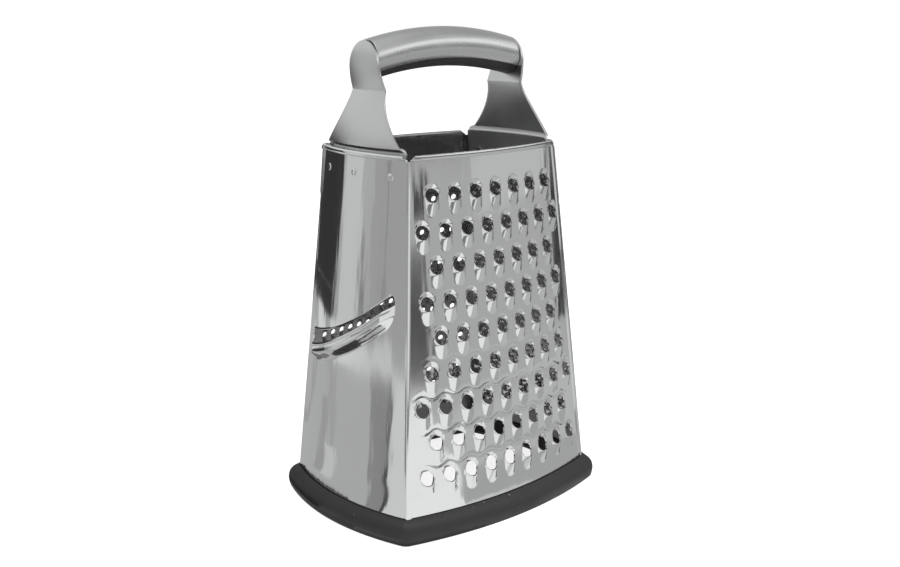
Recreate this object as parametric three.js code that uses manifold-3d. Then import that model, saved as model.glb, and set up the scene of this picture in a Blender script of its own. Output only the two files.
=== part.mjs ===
// Box grater: four bowed sheet faces in a rubber foot, carried by an arched steel handle.
// Millimetres, +Z up, origin under the middle of the foot.
// The coarse face looks along -Y, the slicing face along -X, the fine face along +X
// and the medium face along +Y.

import * as THREE from 'three';
import { mergeVertices } from 'three/addons/utils/BufferGeometryUtils.js';
import Module from 'manifold-3d';

const wasm = await Module();
wasm.setup();

// Body: plan sizes over the corners where the sheet leaves the foot, and at the rim
const footWidth = 122.5;
const footDepth = 90.8;
const rimWidth = 94.8;
const rimDepth = 66.8;
const footHeight = 11.3;
const bodyHeight = 171.7;
// How far the middle of a face stands out from the line between its corners
const wideBowFoot = 9;
const wideBowRim = 5.7;
const narrowBowFoot = 8.3;
const narrowBowRim = 5.7;
// Sheet, rolled hem, corner fold and the clearance between pieces
const sheet = 0.7;
const hemHeight = 2.8;
const hemRoll = 0.9;
const foldWidth = 2.4;
const gap = 0.3;

// Punched teeth: rows of holes, each with a dimple pressed in above it and a lip raised below it.
// Above, below, half and tip give the outline where a tooth runs out into the flat sheet.
const coarse = {
  pitch: 12.3, rowPitch: 16.83, firstRow: 18.6, hole: 6.7, sides: 6,
  lip: 2, dimple: 1.3, above: 6.2, below: 10.4, half: 3.75, tip: 3.6,
};
const medium = {
  pitch: 6.4, rowPitch: 9.25, firstRow: 14, hole: 3.3, sides: 4,
  lip: 1.1, dimple: 0.6, above: 3.2, below: 5.6, half: 1.95, tip: 0,
};
// Fine points are holes in raised collars, here one for each cluster of points
const fine = {
  pitch: 14.1, rowPitch: 7.2, firstRow: 14, hole: 1.6, sides: 4,
  lip: 0.85, dimple: -0.85, above: 1.9, below: 1.9, half: 1.9, tip: 0,
};
// Plain sheet beside the holes of a wide face and of the fine face, and under the rim
const wideMargin = 1.05;
const fineMargin = 6.3;
const topMargin = 16;
// Steps across the slicing face, which has no pattern to set them
const plainPitch = 18;

// Slicing slot: the blade edge runs up towards the coarse face and sags between its ends.
// Its height is taken at the middle of the line between them, above the foot.
const slotHeight = 86.7;
const slotRise = 31;
const slotSag = 6.2;
const slotOpening = 6.6;
const slotOffset = 1.5;
const slotMargin = 6.3;
const lipReach = 3.4;
const lipDepth = 11.5;
const lipBevel = 5.2;

// Foot ring section
const ringOverhang = 6.3;
const ringBulgeHeight = 4.75;
const ringTuck = 0.95;
const ringInset = 3.6;
const ringInnerBevel = 1.1;
const grooveFloor = 3.5;

// Handle: heights over the rim, then insets of the legs from their tabs
const handleRise = 57;
const gripDiameter = 19.4;
const gripArch = 5.5;
const gripShell = 1.2;
const gripEdgeHeight = 4.3;
const legSheet = 1.2;
const legSideMargin = 3;
const legWaistHalf = 12.5;
const legWaistDrop = 4.1;
const legWaistInset = 6.7;
const legCapInset = 4.3;
const legCapRim = 2.2;
const legCapLip = 0.8;
const legShoulder = 5.4;
// Rivets
const rivetMargin = 6;
const rivetDrop = 10.4;
const rivetShank = 3;
const rivetHead = 5;
const rivetHeadHeight = 0.9;
const rivetHeadCrown = 3.6;
const tabMargin = 7.6;

const rimZ = footHeight + bodyHeight;
const sheetBottomZ = grooveFloor + gap;
const { degToRad, lerp, smoothstep } = THREE.MathUtils;

// Half sizes and bows of the body's outline at height z
function plan(z) {
  const t = (z - footHeight) / bodyHeight;
  return {
    halfX: lerp(footWidth, rimWidth, t) / 2,
    halfY: lerp(footDepth, rimDepth, t) / 2,
    wideBow: lerp(wideBowFoot, wideBowRim, t),
    narrowBow: lerp(narrowBowFoot, narrowBowRim, t),
  };
}

const quarterTurns = { front: [1, 0], right: [0, 1], back: [-1, 0], left: [0, -1] };
const isWide = (face) => face === 'front' || face === 'back';

// A point seen from outside a face: s to the right, reach from the axis towards the viewer
function aside(face, s, reach, z) {
  const [c, d] = quarterTurns[face];
  return new THREE.Vector3(c * s + d * reach, d * s - c * reach, z);
}

function halfSpan(face, z) {
  const { halfX, halfY } = plan(z);
  return isWide(face) ? halfX : halfY;
}

// Distance of a face's outer skin from the axis
function skinReach(face, s, z) {
  const { halfX, halfY, wideBow, narrowBow } = plan(z);
  const near = isWide(face) ? halfY : halfX;
  const bow = isWide(face) ? wideBow : narrowBow;
  return near + bow * (1 - (s / halfSpan(face, z)) ** 2);
}

function facePoint(face, s, z, n = 0) {
  return aside(face, s, skinReach(face, s, z) + n, z);
}

// Local axes on a face's skin: across, up the sheet and outwards
function faceFrame(face, s, z) {
  const origin = facePoint(face, s, z);
  const across = facePoint(face, s + 1, z).sub(facePoint(face, s - 1, z)).normalize();
  const rise = facePoint(face, s, z + 1).sub(facePoint(face, s, z - 1));
  const outward = across.clone().cross(rise).normalize();
  const up = outward.clone().cross(across);
  return { origin, across, up, outward };
}

function inFrame(frame, p, q, h) {
  return frame.origin.clone()
    .addScaledVector(frame.across, p)
    .addScaledVector(frame.up, q)
    .addScaledVector(frame.outward, h);
}

function geometryFrom(points, triangles) {
  const geometry = new THREE.BufferGeometry();
  const places = points.flatMap((p) => p.toArray());
  geometry.setAttribute('position', new THREE.Float32BufferAttribute(places, 3));
  geometry.setIndex(triangles.flat());
  return geometry;
}

// A closed solid through rings of points; each ring runs anticlockwise seen from the last ring
function loft(rings, closed = false, flat = null) {
  const count = rings[0].length;
  const spans = closed ? rings.length : rings.length - 1;
  const triangles = [];
  for (let k = 0; k < spans; k++) {
    const low = k * count;
    const high = ((k + 1) % rings.length) * count;
    for (let i = 0; i < count; i++) {
      const j = (i + 1) % count;
      triangles.push([low + i, low + j, high + j], [low + i, high + j, high + i]);
    }
  }
  if (!closed) {
    const last = spans * count;
    const ends = flat
      ? THREE.ShapeUtils.triangulateShape(flat, [])
      : Array.from({ length: count - 2 }, (_, i) => [0, i + 1, i + 2]);
    for (const [a, b, c] of ends) {
      triangles.push([c, b, a], [last + a, last + b, last + c]);
    }
  }
  return geometryFrom(rings.flat(), triangles);
}

// A closed solid between an outer and an inner skin sampled on a grid
function slab(columns, rows, outer, inner) {
  const points = [];
  for (const skin of [outer, inner]) {
    for (let j = 0; j <= rows; j++) {
      for (let i = 0; i <= columns; i++) points.push(skin(i / columns, j));
    }
  }
  const width = columns + 1;
  const layer = width * (rows + 1);
  const triangles = [];
  for (let j = 0; j < rows; j++) {
    for (let i = 0; i < columns; i++) {
      const a = j * width + i;
      const [b, c, d] = [a + 1, a + 1 + width, a + width];
      triangles.push([a, b, c], [a, c, d]);
      triangles.push([c + layer, b + layer, a + layer], [d + layer, c + layer, a + layer]);
    }
  }
  const border = [];
  for (let i = 0; i < columns; i++) border.push(i);
  for (let j = 0; j < rows; j++) border.push(j * width + columns);
  for (let i = columns; i > 0; i--) border.push(rows * width + i);
  for (let j = rows; j > 0; j--) border.push(j * width);
  border.forEach((a, i) => {
    const b = border[(i + 1) % border.length];
    triangles.push([a, a + layer, b + layer], [a, b + layer, b]);
  });
  return geometryFrom(points, triangles);
}

// Boolean work
function solid(geometry) {
  const mesh = new wasm.Mesh({
    numProp: 3,
    vertProperties: Float32Array.from(geometry.attributes.position.array),
    triVerts: Uint32Array.from(geometry.index.array),
  });
  return new wasm.Manifold(mesh);
}

function surfaceOf(body) {
  const mesh = body.getMesh();
  const geometry = new THREE.BufferGeometry();
  geometry.setAttribute('position', new THREE.Float32BufferAttribute(mesh.vertProperties, 3));
  geometry.setIndex(Array.from(mesh.triVerts));
  return geometry;
}

// Many separate small solids as one
function gather(geometries) {
  const points = [];
  const triangles = [];
  for (const geometry of geometries) {
    const base = points.length / 3;
    points.push(...geometry.attributes.position.array);
    triangles.push(...Array.from(geometry.index.array, (v) => v + base));
  }
  const geometry = new THREE.BufferGeometry();
  geometry.setAttribute('position', new THREE.Float32BufferAttribute(points, 3));
  geometry.setIndex(triangles);
  return solid(geometry);
}

const steel = { color: 0xb9bbbd, roughness: 0.2, metalness: 1 };
const satinSteel = { color: 0xa9abad, roughness: 0.38, metalness: 1 };
const blackGrip = { color: 0x2c2d2f, roughness: 0.5, metalness: 0 };
const rubber = { color: 0x2a2b2c, roughness: 0.75, metalness: 0 };

const grater = new THREE.Group();
function addPiece(name, geometry, look) {
  geometry.computeVertexNormals();
  const mesh = new THREE.Mesh(geometry, new THREE.MeshStandardMaterial(look));
  mesh.name = name;
  grater.add(mesh);
  return mesh;
}

// Half width of a face's sheet; a wide face ends at the folds of its neighbours
function sheetEdge(face, z) {
  return halfSpan(face, z) - (isWide(face) ? foldWidth + gap : 0);
}

// Places across a sheet at height z: half-pitch steps and both edges
function acrossLine(face, z, pitch) {
  const edge = sheetEdge(face, z);
  const most = Math.floor((2 * edge) / pitch - 0.5);
  const steps = Array.from({ length: 2 * most + 1 }, (_, i) => ((i - most) * pitch) / 2);
  return [-edge, ...steps, edge].map((s) => ({ s, z }));
}

// A line carried to another height, its ends on the sheet's edges there or cut back from them
function carried(face, line, z, cut = 0) {
  const scale = (sheetEdge(face, z) - cut) / line[line.length - 1].s;
  return line.map(({ s }) => ({ s: s * scale, z }));
}

const onSkin = (face, line, n) => line.map(({ s, z }) => facePoint(face, s, z, n));

// Triangles between two lines with the same number of points
function ribbon(low, high) {
  return low.slice(1).flatMap((next, i) => [
    [low[i], next, high[i + 1]], [low[i], high[i + 1], high[i]],
  ]);
}

const flipped = (triangles) => triangles.map(([a, b, c]) => [c, b, a]);

// Triangles between two rings of points round one middle, stepping along the ring that lags
function ringFill(outer, inner, angles) {
  const triangles = [];
  const past = (list, i) => (i < list.length ? list[i] : list[0] + 2 * Math.PI);
  let [i, j] = [0, 0];
  while (i < outer.length || j < inner.length) {
    const [a, b] = [outer[i % outer.length], inner[j % inner.length]];
    const outerLags = past(angles.outer, i + 1) <= past(angles.inner, j + 1);
    if (j === inner.length || (i < outer.length && outerLags)) {
      triangles.push([a, outer[++i % outer.length], b]);
    } else {
      triangles.push([a, inner[++j % inner.length], b]);
    }
  }
  return triangles;
}

// Outline of a tooth about its hole, anticlockwise from its lower end
function toothOutline({ half, above, below, tip }) {
  if (tip > 0) {
    return [[-tip / 2, -below], [tip / 2, -below], [half, 0],
      [0.6 * half, above], [-0.6 * half, above], [-half, 0]];
  }
  return [[0, -below], [half, 0], [0, above], [-half, 0]];
}

// One brick of a punched sheet: flat from its border to the tooth's outline, raised or pressed in
// from there to the edge of the hole. Its inner side is flat behind a lip and follows a dimple.
function toothBrick(face, middle, border, tooth) {
  const outline = toothOutline(tooth);
  const first = tooth.sides === 4 ? -90 : -120;
  const turns = outline.map((_, i) => degToRad(first + (360 * i) / tooth.sides));
  const place = ([p, q]) => ({ s: middle.s + p, z: middle.z + q });
  const holeEdge = turns.map((angle) => place(
    [Math.cos(angle) * tooth.hole / 2, Math.sin(angle) * tooth.hole / 2]));
  const lifts = turns.map((angle) => lerp(tooth.lip, -tooth.dimple, (1 + Math.sin(angle)) / 2));
  const raised = holeEdge.map(({ s, z }, i) => facePoint(face, s, z, lifts[i]));
  const inside = holeEdge.map(({ s, z }, i) => facePoint(face, s, z, Math.min(lifts[i], 0) - sheet));
  const angles = {
    outer: border.map(({ s, z }) => Math.atan2(z - middle.z, s - middle.s)),
    inner: turns,
  };
  const round = (ring) => [...ring, ring[0]];
  const flat = onSkin(face, outline.map(place), 0);
  return [
    ...ringFill(onSkin(face, border, 0), flat, angles),
    ...ribbon(round(flat), round(raised)),
    ...ribbon(round(raised), round(inside)),
    ...flipped(ringFill(onSkin(face, border, -sheet), inside, angles)),
  ];
}

// One row of bricks between two lines; the end bricks run on to the edges of the sheet
function toothRow(face, places, z, low, high, tooth) {
  return places.flatMap((s, i) => {
    const from = i > 0 ? s - 0.6 * tooth.pitch : -Infinity;
    const to = i < places.length - 1 ? s + 0.6 * tooth.pitch : Infinity;
    const within = (line) => line.filter((point) => point.s > from && point.s < to);
    const border = [...within(low), ...within(high).reverse()];
    return toothBrick(face, { s, z }, border, tooth);
  });
}

// Face sheet with its rolled hem, which is mitred at the corners. The lines divide it between
// the rows of teeth.
function faceSheet(face, lines, teeth = []) {
  const hemZ = rimZ - hemHeight;
  const last = lines[lines.length - 1];
  const bottom = carried(face, lines[0], sheetBottomZ);
  const hem = carried(face, last, hemZ);
  const rim = carried(face, last, rimZ, hemHeight);
  const skin = (line, n) => onSkin(face, line, n);
  const hemWay = [skin(last, 0), skin(hem, 0), skin(hem, hemRoll), skin(rim, hemRoll),
    skin(rim, -sheet), skin(last, -sheet)];
  const footWay = [skin(lines[0], -sheet), skin(bottom, -sheet), skin(bottom, 0), skin(lines[0], 0)];
  const along = (way) => way.slice(1).flatMap((next, i) => ribbon(way[i], next));
  const side = (at) => {
    const levels = [bottom, ...lines].map(at).map((point) => [point]);
    const wall = ribbon(
      levels.flatMap((point) => skin(point, -sheet)),
      levels.flatMap((point) => skin(point, 0)));
    const [top, hemFoot, hemEdge, rimEdge, rimBack, back] = hemWay.map(at);
    return [...wall, [rimBack, rimEdge, hemEdge], [rimBack, hemEdge, hemFoot],
      [rimBack, hemFoot, top], [rimBack, top, back]];
  };
  const triangles = [...teeth, ...along(hemWay), ...along(footWay),
    ...side((line) => line[line.length - 1]), ...flipped(side((line) => line[0]))];
  return mergeVertices(new THREE.BufferGeometry().setFromPoints(triangles.flat()));
}

// Strip of a narrow face folded round the corner onto its wide neighbour.
// It starts half a sheet inside the corner, where it runs into the narrow face.
function cornerFold(wideFace, edge) {
  const levels = [sheetBottomZ, rimZ - hemHeight - gap];
  const ends = edge < 0 ? [sheet / 2, foldWidth] : [foldWidth, sheet / 2];
  const point = (u, j, n) => {
    const z = levels[j];
    const s = edge * (halfSpan(wideFace, z) - lerp(ends[0], ends[1], u));
    return facePoint(wideFace, s, z, n);
  };
  return slab(1, 1, (u, j) => point(u, j, 0), (u, j) => point(u, j, -sheet));
}

// Straight-sided punch through a face, with a regular outline of the given diameter,
// reaching the given distance to both sides of the skin
function punch(face, s, z, diameter, sides, reach) {
  const frame = faceFrame(face, s, z);
  const ring = (h) => Array.from({ length: sides }, (_, i) => {
    const angle = (2 * Math.PI * i) / sides;
    return inFrame(frame, Math.cos(angle) * diameter / 2, Math.sin(angle) * diameter / 2, h);
  });
  return loft([ring(-reach), ring(reach)]);
}

// Rows of a staggered pattern: every second row is shifted by half a pitch.
// The side distance runs from the corner of the body to the middle of a hole.
function patternRows(face, { pitch, rowPitch, firstRow }, sideDistance) {
  const rows = [];
  const top = bodyHeight - topMargin;
  for (let row = 0; firstRow + row * rowPitch < top; row++) {
    const z = footHeight + firstRow + row * rowPitch;
    const limit = halfSpan(face, z) - sideDistance;
    const shift = row % 2 ? pitch / 2 : 0;
    const most = Math.ceil(limit / pitch);
    const steps = Array.from({ length: 2 * most + 1 }, (_, i) => (i - most) * pitch + shift);
    rows.push({ z, places: steps.filter((s) => Math.abs(s) <= limit) });
  }
  return rows;
}

// A face's sheet with a whole pattern of teeth
function toothedSheet(face, tooth, sideDistance) {
  const rows = patternRows(face, tooth, sideDistance);
  const lowest = rows[0].z + (tooth.above - tooth.below - tooth.rowPitch) / 2;
  const lines = [];
  for (let i = 0; i <= rows.length; i++) {
    lines.push(acrossLine(face, lowest + i * tooth.rowPitch, tooth.pitch));
  }
  const teeth = rows.flatMap(({ z, places }, i) => (
    toothRow(face, places, z, lines[i], lines[i + 1], tooth)));
  return faceSheet(face, lines, teeth);
}

const wideSideDistance = ({ hole }) => foldWidth + gap + wideMargin + hole / 2;

// Tabs of the handle legs lie inside the narrow faces, each held by a row of rivets
const legFlareHalf = rimDepth / 2 - legSideMargin;
const rivetPitch = legFlareHalf - rivetMargin;
const rivetPlaces = [-rivetPitch, 0, rivetPitch].map((s) => [s, rimZ - rivetDrop]);

function rivetHoles(face) {
  const bore = rivetShank + 2 * gap;
  const reach = 2 * (sheet + gap + legSheet);
  return gather(rivetPlaces.map(([s, z]) => punch(face, s, z, bore, 8, reach)));
}

// A narrow face with the folds that hold the edges of both wide faces
function narrowFace(face, sheetGeometry) {
  const edge = face === 'left' ? -1 : 1;
  return solid(sheetGeometry)
    .add(solid(cornerFold('front', edge)))
    .add(solid(cornerFold('back', -edge)))
    .subtract(rivetHoles(face));
}

function fineFace() {
  return narrowFace('right', toothedSheet('right', fine, fineMargin + fine.hole / 2));
}

// Height of the slicing edge at a distance t from the slot's middle, where its ends are at -1 and 1
const slotZ = footHeight + slotHeight;
const slotHalf = halfSpan('left', slotZ) - slotMargin;
const bladeZ = (t) => slotZ + (slotRise / 2) * t - slotSag * (1 - t * t);

// The slicing face: a window with the sheet below it pressed out into a blade
function slicerFace() {
  const face = 'left';
  const columns = 14;
  const place = (t, drop, n) => facePoint(face, t * slotHalf - slotOffset, bladeZ(t) + drop, n);
  const windowDrops = [-lipDepth, slotOpening];
  const windowReach = 2 * sheet;
  const window = slab(columns, 1,
    (u, j) => place(2 * u - 1, windowDrops[j], windowReach),
    (u, j) => place(2 * u - 1, windowDrops[j], -windowReach));
  const lipRows = [[-lipDepth - sheet, 0], [sheet - lipDepth, sheet / 2],
    [-lipBevel, lipReach - sheet], [0, lipReach]];
  const lipPoint = (u, j, n) => {
    const t = (2 * u - 1) * (1 + sheet / slotHalf);
    const [drop, out] = lipRows[j];
    const fromEnd = slotHalf * (1 - Math.abs(t));
    return place(t, drop, out * smoothstep(fromEnd, 0, slotOpening) + n);
  };
  const lip = slab(columns, lipRows.length - 1,
    (u, j) => lipPoint(u, j, 0),
    (u, j) => lipPoint(u, j, -sheet));
  const plain = faceSheet(face, [acrossLine(face, footHeight, plainPitch)]);
  return narrowFace(face, plain).subtract(solid(window)).add(solid(lip));
}

addPiece('coarse_face', toothedSheet('front', coarse, wideSideDistance(coarse)), steel);
addPiece('slicing_face', surfaceOf(slicerFace()), steel);
addPiece('medium_face', toothedSheet('back', medium, wideSideDistance(medium)), steel);
addPiece('fine_face', surfaceOf(fineFace()), steel);

// Stations round the foot: points along each bowed face and a fan of directions at each corner
function ringStations() {
  const stations = [];
  const faceSteps = 8;
  const fanSteps = 4;
  const order = ['front', 'right', 'back', 'left'];
  const level = (v) => new THREE.Vector3(v.x, v.y, 0).normalize();
  order.forEach((face, k) => {
    const next = order[(k + 1) % order.length];
    for (let i = 1; i < faceSteps; i++) {
      const u = (2 * i) / faceSteps - 1;
      const place = (z) => facePoint(face, u * halfSpan(face, z), z);
      const outward = level(faceFrame(face, u * halfSpan(face, footHeight), footHeight).outward);
      stations.push({ place, outward, inward: outward });
    }
    const first = level(faceFrame(face, halfSpan(face, footHeight), footHeight).outward);
    const second = level(faceFrame(next, -halfSpan(next, footHeight), footHeight).outward);
    const mitre = first.clone().add(second).normalize();
    const inward = mitre.clone().divideScalar(mitre.dot(first));
    const place = (z) => facePoint(face, halfSpan(face, z), z);
    for (let i = 0; i <= fanSteps; i++) {
      const outward = first.clone().lerp(second, i / fanSteps).normalize();
      stations.push({ place, outward, inward });
    }
  });
  return stations;
}

// Foot ring: a rounded section with a groove for the sheet, carried round the body's outline.
// The groove's walls follow the leaning sheet; the rest is set out from the line where it leaves.
function footRing() {
  const inside = -sheet - ringInset;
  const inner = [[inside, 0], [inside + ringInnerBevel, footHeight - ringInnerBevel]];
  const groove = [[-sheet - gap, footHeight - gap], [-sheet - gap, grooveFloor],
    [gap, grooveFloor], [gap, footHeight]];
  const crown = [60, 30, 0].map(degToRad).map((angle) => [
    ringOverhang * Math.cos(angle),
    lerp(ringBulgeHeight, footHeight, Math.sin(angle)),
  ]);
  const tuck = [0.5, 1].map((t) => [ringOverhang - ringTuck * t * t, ringBulgeHeight * (1 - t)]);
  const rings = ringStations().map(({ place, outward, inward }) => {
    const set = ([n, z], baseZ) => place(baseZ).setZ(z).addScaledVector(n < 0 ? inward : outward, n);
    const atFoot = (corner) => set(corner, footHeight);
    const onSheet = (corner) => set(corner, corner[1]);
    return [...inner.map(atFoot), ...groove.map(onSheet), ...crown.map(atFoot), ...tuck.map(atFoot)];
  });
  return loft(rings, true);
}
addPiece('foot_ring', footRing(), rubber);

// Handle heights, from the crown of the grip down to the tabs
const handleZ = rimZ + handleRise;
const gripEndTopZ = handleZ - gripArch;
const gripEndBottomZ = gripEndTopZ - gripDiameter;
const legTopZ = gripEndTopZ + legCapLip;
const capZ = gripEndBottomZ + legShoulder;
const waistZ = gripEndBottomZ - legWaistDrop;
const tabBottomZ = rimZ - rivetDrop - tabMargin;
// Reaches and half widths of a leg's plate
const tabReach = (z) => skinReach('right', 0, z) - sheet - gap;
const legWaistReach = tabReach(rimZ) - legWaistInset;
const legCapReach = tabReach(rimZ) - legCapInset;
const legCapHalf = gripDiameter / 2 + legCapRim;

function legHalf(z) {
  if (z <= rimZ) return legFlareHalf;
  const flareCurve = 1.1;
  if (z <= waistZ) {
    return lerp(legWaistHalf, legFlareHalf, ((waistZ - z) / (waistZ - rimZ)) ** flareCurve);
  }
  if (z <= capZ) return lerp(legWaistHalf, legCapHalf, (z - waistZ) / (capZ - waistZ));
  return legCapHalf * Math.sqrt(1 - ((z - capZ) / (legTopZ - capZ)) ** 2);
}

function legReach(s, z) {
  const { narrowBow, halfY } = plan(Math.min(z, rimZ));
  const sag = narrowBow * (s / halfY) ** 2;
  if (z <= rimZ) return tabReach(z) - sag;
  if (z <= waistZ) {
    return lerp(tabReach(rimZ), legWaistReach, (z - rimZ) / (waistZ - rimZ)) - sag;
  }
  const lean = smoothstep(z, waistZ, lerp(waistZ, legTopZ, 0.5));
  const roll = Math.max(0, (z - capZ) / (legTopZ - capZ)) ** 3;
  return lerp(legWaistReach, legCapReach, lean) - sag - roll * legSheet;
}

// Levels of a plate: the tab, the flare, the neck and the round cap, which ends in a short flat
function legLevels() {
  const flare = [0, 0.2, 0.45, 0.72, 1].map((t) => lerp(rimZ, waistZ, t));
  const neck = [0.5, 1].map((t) => lerp(waistZ, capZ, t));
  const cap = [20, 37, 53, 68, 80].map((angle) => lerp(capZ, legTopZ, Math.sin(degToRad(angle))));
  return [tabBottomZ, ...flare, ...neck, ...cap];
}

// The plate of one leg, or with wider offsets the room that the grip leaves for it
function legPlate(face, outerOffset, innerOffset) {
  const columns = 7;
  const levels = legLevels();
  const skin = (n) => (u, j) => {
    const z = levels[j];
    const s = (2 * u - 1) * legHalf(z);
    return aside(face, s, legReach(s, z) + n, z);
  };
  return solid(slab(columns, levels.length - 1, skin(outerOffset), skin(innerOffset)));
}

for (const face of ['left', 'right']) {
  const plate = legPlate(face, 0, -legSheet).subtract(rivetHoles(face));
  addPiece(`${face}_leg`, surfaceOf(plate), satinSteel);
}

// Grip: a round bar arched between the legs, its underside open in the steel and filled in black
const gripRadius = gripDiameter / 2;
const gripEdge = Math.acos(1 - gripEdgeHeight / gripRadius);

function gripBar(section) {
  const steps = 8;
  const rings = [];
  for (let i = 0; i <= steps; i++) {
    const x = lerp(-legCapReach, legCapReach, i / steps);
    const z = handleZ - gripRadius - gripArch * (x / legWaistReach) ** 2;
    rings.push(section.map(({ x: y, y: rise }) => new THREE.Vector3(x, y, z + rise)));
  }
  return ['left', 'right'].reduce(
    (bar, face) => bar.subtract(legPlate(face, legCapReach, -legSheet - gap)),
    solid(loft(rings, false, section)),
  );
}

// Points of an arc about the bar's axis, with angles measured from straight down
function arc(radius, from, to, steps) {
  return Array.from({ length: steps + 1 }, (_, i) => {
    const angle = lerp(from, to, i / steps);
    return new THREE.Vector2(Math.sin(angle) * radius, -Math.cos(angle) * radius);
  });
}

const turn = 2 * Math.PI;
const slit = gap / gripRadius;
const shellSection = [
  ...arc(gripRadius, gripEdge, turn - gripEdge, 10),
  ...arc(gripRadius - gripShell, turn - gripEdge, gripEdge, 10),
];
const coreRadius = gripRadius - gripShell - gap;
const coreSection = [
  ...arc(gripRadius, slit - gripEdge, gripEdge - slit, 4),
  ...arc(coreRadius, gripEdge - slit, turn - gripEdge + slit, 8),
];
addPiece('grip_shell', surfaceOf(gripBar(shellSection)), satinSteel);
addPiece('grip_core', surfaceOf(gripBar(coreSection)), blackGrip);

// Rivets through each narrow face and the tab of its leg
function rivetGeometry() {
  const inner = -(sheet + gap + legSheet + gap);
  const innerHead = inner - rivetHeadHeight;
  const outerHead = gap + rivetHeadHeight;
  const profile = [[0, innerHead], [rivetHead / 2, innerHead], [rivetHead / 2, inner],
    [rivetShank / 2, inner], [rivetShank / 2, gap], [rivetHead / 2, gap],
    [rivetHeadCrown / 2, lerp(gap, outerHead, 0.8)], [0, outerHead]];
  return new THREE.LatheGeometry(profile.map(([r, h]) => new THREE.Vector2(r, h)), 8);
}

for (const face of ['left', 'right']) {
  rivetPlaces.forEach(([s, z], i) => {
    const rivet = addPiece(`${face}_rivet_${i + 1}`, rivetGeometry(), steel);
    const { origin, outward } = faceFrame(face, s, z);
    rivet.position.copy(origin);
    rivet.quaternion.setFromUnitVectors(new THREE.Vector3(0, 1, 0), outward);
  });
}

export default grater;
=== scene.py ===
# %% [markdown]
# # A four-sided box grater
# Two wide and two narrow faces of thin polished steel, each bowed a little outwards, stand in a
# black rubber foot and carry an arched grip on two flared legs. It could be modelled by hand,
# vertex by vertex. Here every surface is a formula on a grid, worked out with numpy in millimetres
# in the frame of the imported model, so each new piece lands on the solid that it stands for.

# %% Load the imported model
import math
from dataclasses import dataclass

import bmesh
import bpy
import numpy as np
from mathutils import Matrix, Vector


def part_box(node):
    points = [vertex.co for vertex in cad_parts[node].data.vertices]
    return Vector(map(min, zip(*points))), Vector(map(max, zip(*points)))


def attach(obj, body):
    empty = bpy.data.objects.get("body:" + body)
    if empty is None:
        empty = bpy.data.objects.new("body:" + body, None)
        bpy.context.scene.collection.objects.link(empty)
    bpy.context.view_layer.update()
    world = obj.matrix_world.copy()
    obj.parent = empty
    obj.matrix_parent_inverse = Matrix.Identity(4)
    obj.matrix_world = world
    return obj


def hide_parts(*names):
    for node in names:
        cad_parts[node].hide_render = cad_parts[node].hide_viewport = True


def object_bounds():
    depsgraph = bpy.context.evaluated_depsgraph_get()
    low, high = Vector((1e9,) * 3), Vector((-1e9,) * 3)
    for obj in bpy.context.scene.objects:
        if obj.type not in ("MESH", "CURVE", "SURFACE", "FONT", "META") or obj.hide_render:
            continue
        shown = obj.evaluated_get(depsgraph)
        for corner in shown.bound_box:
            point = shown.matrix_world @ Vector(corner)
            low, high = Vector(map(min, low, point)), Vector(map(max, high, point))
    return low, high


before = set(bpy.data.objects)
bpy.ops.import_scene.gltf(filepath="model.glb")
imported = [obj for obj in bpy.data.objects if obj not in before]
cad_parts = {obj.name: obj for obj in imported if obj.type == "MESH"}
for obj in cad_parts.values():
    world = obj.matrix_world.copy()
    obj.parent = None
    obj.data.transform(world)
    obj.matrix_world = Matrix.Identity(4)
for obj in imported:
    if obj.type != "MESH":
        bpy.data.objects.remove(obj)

cad_low, cad_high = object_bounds()
MM = 0.001
print("packed model", [round(1000 * (h - l), 1) for l, h in zip(cad_low, cad_high)], "mm")

# %% [markdown]
# ## The camera
# The photograph was taken from the left of the coarse face and a little above the handle. A camera
# could be turned by eye, but then sizes read from the photograph wouldn't fit. Here the corners of
# the body, the rim and the grip fix its place, aim and lens.

# %% Camera
CAMERA_PLACE = (-370.8, -435.8, 249.4)
CAMERA_YAW = math.radians(-40.86)
CAMERA_PITCH = math.radians(13.77)
CAMERA_ROLL = math.radians(-0.20)
CAMERA_LENS = 45.26
SENSOR_WIDTH = 36.0


def camera_turn(yaw, pitch, roll):
    """Rows of right, up and back, from the yaw about Z, the pitch downwards and the roll."""
    back = np.array([
        math.sin(yaw) * math.cos(pitch), -math.cos(yaw) * math.cos(pitch), math.sin(pitch)])
    level = np.array([math.cos(yaw), math.sin(yaw), 0.0])
    right = math.cos(roll) * level + math.sin(roll) * np.cross(back, level)
    return np.array([right, np.cross(back, right), back])


def placed(name, data, place, axes):
    """An object at a place in millimetres, turned so that its axes are the rows given."""
    thing = bpy.data.objects.new(name, data)
    thing.matrix_world = Matrix.Translation([MM * c for c in place]) @ Matrix(axes.T).to_4x4()
    bpy.context.scene.collection.objects.link(thing)
    return thing


camera = bpy.data.cameras.new("photo_camera")
camera.lens = CAMERA_LENS
camera.sensor_width = SENSOR_WIDTH
turn = camera_turn(CAMERA_YAW, CAMERA_PITCH, CAMERA_ROLL)
bpy.context.scene.camera = placed("photo_camera", camera, CAMERA_PLACE, turn)
print("camera at", CAMERA_PLACE, "mm with a", CAMERA_LENS, "mm lens")

# %% [markdown]
# ## The bowed body
# In plan the body is a rectangle that shrinks from foot to rim, and each side bulges as a
# parabola. It could be a tapered box with bent sides. One function is handier: it gives the point
# of a face at a distance across it and a height, and can lift it off the sheet along the normal.
# The faces, the folds and the rivets all use it.

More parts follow.
